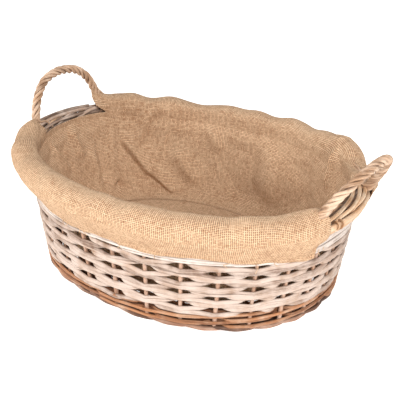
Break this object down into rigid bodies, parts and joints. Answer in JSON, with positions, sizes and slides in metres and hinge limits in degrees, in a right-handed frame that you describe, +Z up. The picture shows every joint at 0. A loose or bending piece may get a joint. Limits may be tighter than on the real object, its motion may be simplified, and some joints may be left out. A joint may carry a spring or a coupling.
{
  "type": "lined wicker basket",
  "caption": "Oval woven willow basket with a rope-twisted handle at each end and a jute liner folded over the rim.",
  "frame": {"origin": "middle of the base's footprint, on the surface that the basket stands on", "axes": "+X along the basket's length through the handles, +Y across it, +Z up"},
  "size_m": [0.5806, 0.4254, 0.2418],
  "materials": {
    "whitewashed_willow": "split willow rods, limewashed, matt",
    "stake_willow": "round willow stakes, dry, matt",
    "chalk_willow": "thin willow rods, heavily limewashed",
    "buff_willow": "buff willow rods, slight sheen",
    "brown_willow": "brown and orange-buff willow rods",
    "jute": "open-weave jute burlap, coarse"
  },
  "bodies": {
    "basket": {"foot_rod": "brown_willow", "bottom_wale_1": "brown_willow", "bottom_wale_2": "brown_willow", "weave_row_1": "whitewashed_willow", "weave_row_2": "whitewashed_willow", "weave_row_3": "whitewashed_willow", "weave_row_4": "whitewashed_willow", "weave_row_5": "whitewashed_willow", "weave_row_6": "whitewashed_willow", "weave_row_7": "whitewashed_willow", "weave_row_8": "whitewashed_willow", "weave_row_9": "whitewashed_willow", "weave_row_10": "whitewashed_willow", "weave_row_11": "whitewashed_willow", "weave_row_12": "whitewashed_willow", "top_wale": "chalk_willow", "stake_01": "stake_willow", "stake_02": "stake_willow", "stake_03": "stake_willow", "stake_04": "stake_willow", "stake_05": "stake_willow", "stake_06": "stake_willow", "stake_07": "stake_willow", "stake_08": "stake_willow", "stake_09": "stake_willow", "stake_10": "stake_willow", "stake_11": "stake_willow", "stake_12": "stake_willow", "stake_13": "stake_willow", "stake_14": "stake_willow", "stake_15": "stake_willow", "stake_16": "stake_willow", "stake_17": "stake_willow", "stake_18": "stake_willow", "stake_19": "stake_willow", "stake_20": "stake_willow", "stake_21": "stake_willow", "stake_22": "stake_willow", "stake_23": "stake_willow", "stake_24": "stake_willow", "stake_25": "stake_willow", "stake_26": "stake_willow", "stake_27": "stake_willow", "stake_28": "stake_willow", "base_long_stick_1": "brown_willow", "base_long_stick_2": "brown_willow", "base_cross_stick_1": "brown_willow", "base_cross_stick_2": "brown_willow", "base_cross_stick_3": "brown_willow", "base_cross_stick_4": "brown_willow", "base_weave_back": "brown_willow", "base_weave_front": "brown_willow", "border_outer": "buff_willow", "border_inner": "buff_willow", "handle_left": "buff_willow", "handle_right": "buff_willow"},
    "liner": {"liner_base": "jute", "liner_wall": "jute", "liner_skirt_back": "jute", "liner_skirt_front": "jute"}
  },
  "joints": [
    {"name": "liner_lift", "type": "slide", "parent": "basket", "child": "liner", "axis": [0, 0, 1], "range_m": [0, 0.26], "deforming": ["liner_skirt_back", "liner_skirt_front"]}
  ]
}
